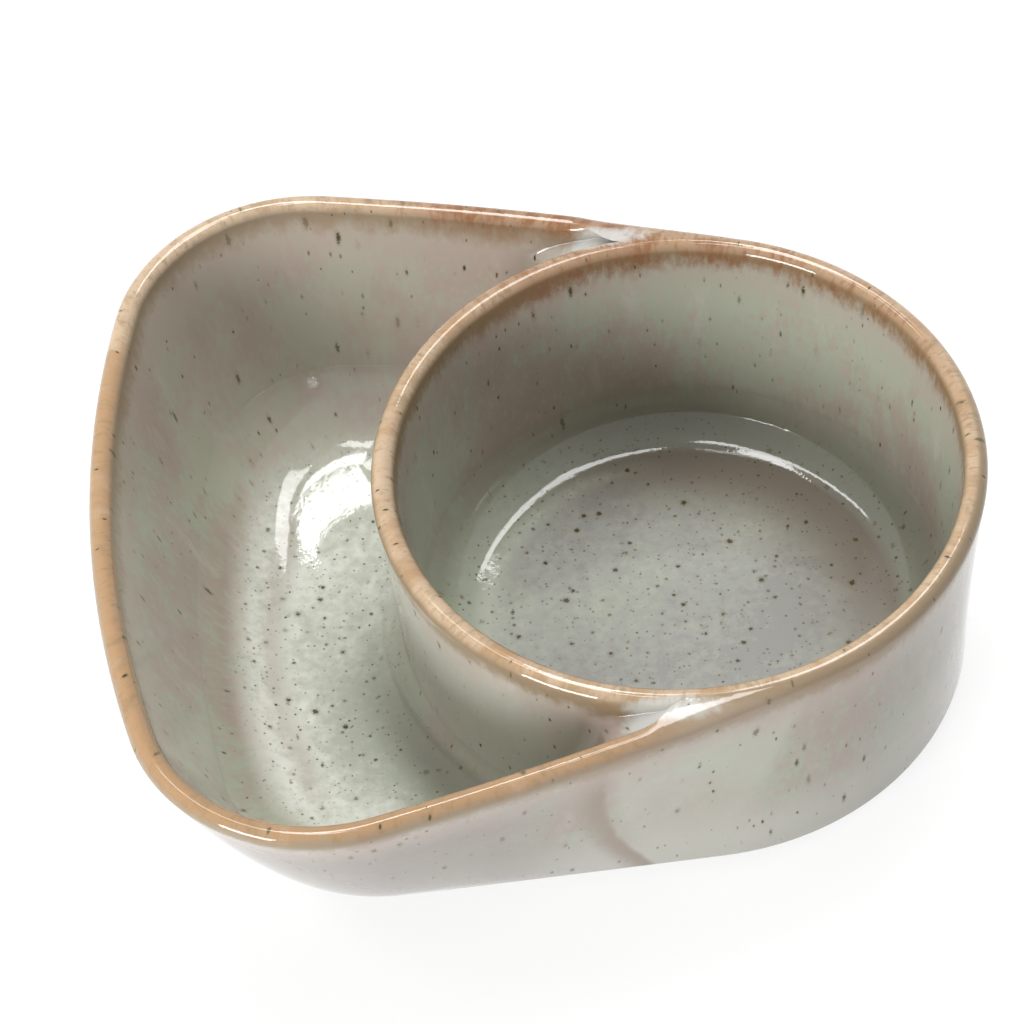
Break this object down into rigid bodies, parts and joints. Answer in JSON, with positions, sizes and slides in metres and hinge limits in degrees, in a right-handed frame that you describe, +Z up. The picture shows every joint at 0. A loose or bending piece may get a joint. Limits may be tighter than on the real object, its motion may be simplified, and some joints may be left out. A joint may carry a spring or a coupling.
{
  "type": "soup and cracker bowl",
  "caption": "Stoneware soup cup with a flared cracker tray joined round one side, both lips level, under a glossy speckled reactive glaze, standing on an unglazed foot ring.",
  "frame": {"origin": "on the table under the middle of the whole bowl", "axes": "+X from the tray towards the soup cup, along the bowl's length; +Z up"},
  "size_m": [0.1906, 0.1786, 0.062],
  "materials": {
    "glazed_stoneware": "glossy sage-grey reactive glaze, amber at the lips, with fine dark specks",
    "bare_stoneware": "matte unglazed buff clay"
  },
  "bodies": {
    "root": {"cup_wall": "glazed_stoneware", "cup_floor": "glazed_stoneware", "cup_cove": "glazed_stoneware", "tray_wall": "glazed_stoneware", "tray_floor": "glazed_stoneware", "tray_cove": "glazed_stoneware", "front_web": "glazed_stoneware", "back_web": "glazed_stoneware", "foot_ring": "bare_stoneware"}
  },
  "joints": []
}
